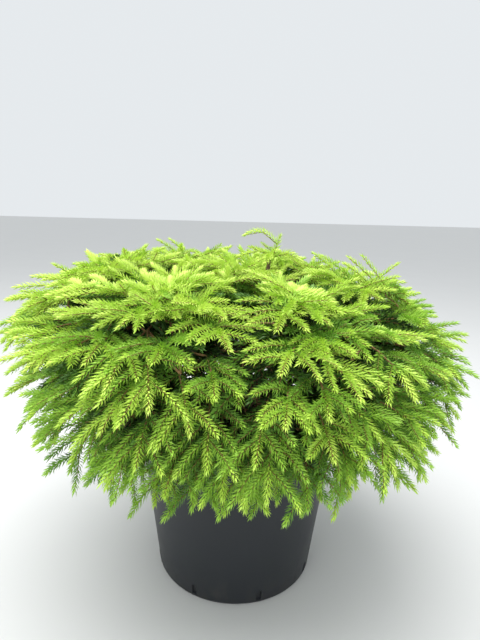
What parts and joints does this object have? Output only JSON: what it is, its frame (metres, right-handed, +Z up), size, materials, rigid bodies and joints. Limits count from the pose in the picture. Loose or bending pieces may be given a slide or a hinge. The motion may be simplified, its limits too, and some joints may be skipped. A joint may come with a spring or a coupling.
{
  "type": "potted bird's nest spruce",
  "caption": "Low, flat-topped dwarf spruce in a black tapered nursery pot: short trunk, arching boughs, drooping masses of yellow-green needles and a small upright leader.",
  "frame": {"origin": "middle of the pot's flat underside, on the pot's axis", "axes": "+Z up the pot's axis and the trunk, -Y towards the front that the picture shows, +X to the right of that view"},
  "size_m": [0.8052, 0.7925, 0.6481],
  "materials": {
    "pot_plastic": "satin black, scuffed",
    "potting_mix": "rough, moist",
    "bark": "scaly",
    "needles": "satin"
  },
  "bodies": {
    "root": {"bough_leader": "bark", "bough_mid_1": "bark", "bough_mid_2": "bark", "bough_mid_3": "bark", "bough_mid_4": "bark", "bough_mid_5": "bark", "bough_mid_6": "bark", "bough_shoulder_1": "bark", "bough_shoulder_2": "bark", "bough_shoulder_3": "bark", "bough_shoulder_4": "bark", "bough_shoulder_5": "bark", "bough_shoulder_6": "bark", "bough_shoulder_7": "bark", "bough_skirt_1": "bark", "bough_skirt_2": "bark", "bough_skirt_3": "bark", "bough_skirt_4": "bark", "bough_skirt_5": "bark", "bough_skirt_6": "bark", "bough_skirt_7": "bark", "bough_skirt_8": "bark", "bough_top_1": "bark", "bough_top_2": "bark", "bough_top_3": "bark", "bough_top_4": "bark", "foliage_leader": "needles", "foliage_mid_1": "needles", "foliage_mid_2": "needles", "foliage_mid_3": "needles", "foliage_mid_4": "needles", "foliage_mid_5": "needles", "foliage_mid_6": "needles", "foliage_shoulder_1": "needles", "foliage_shoulder_2": "needles", "foliage_shoulder_3": "needles", "foliage_shoulder_4": "needles", "foliage_shoulder_5": "needles", "foliage_shoulder_6": "needles", "foliage_shoulder_7": "needles", "foliage_skirt_1": "needles", "foliage_skirt_2": "needles", "foliage_skirt_3": "needles", "foliage_skirt_4": "needles", "foliage_skirt_5": "needles", "foliage_skirt_6": "needles", "foliage_skirt_7": "needles", "foliage_skirt_8": "needles", "foliage_top_1": "needles", "foliage_top_2": "needles", "foliage_top_3": "needles", "foliage_top_4": "needles", "pot": "pot_plastic", "potting_mix": "potting_mix", "trunk": "bark"}
  },
  "joints": []
}
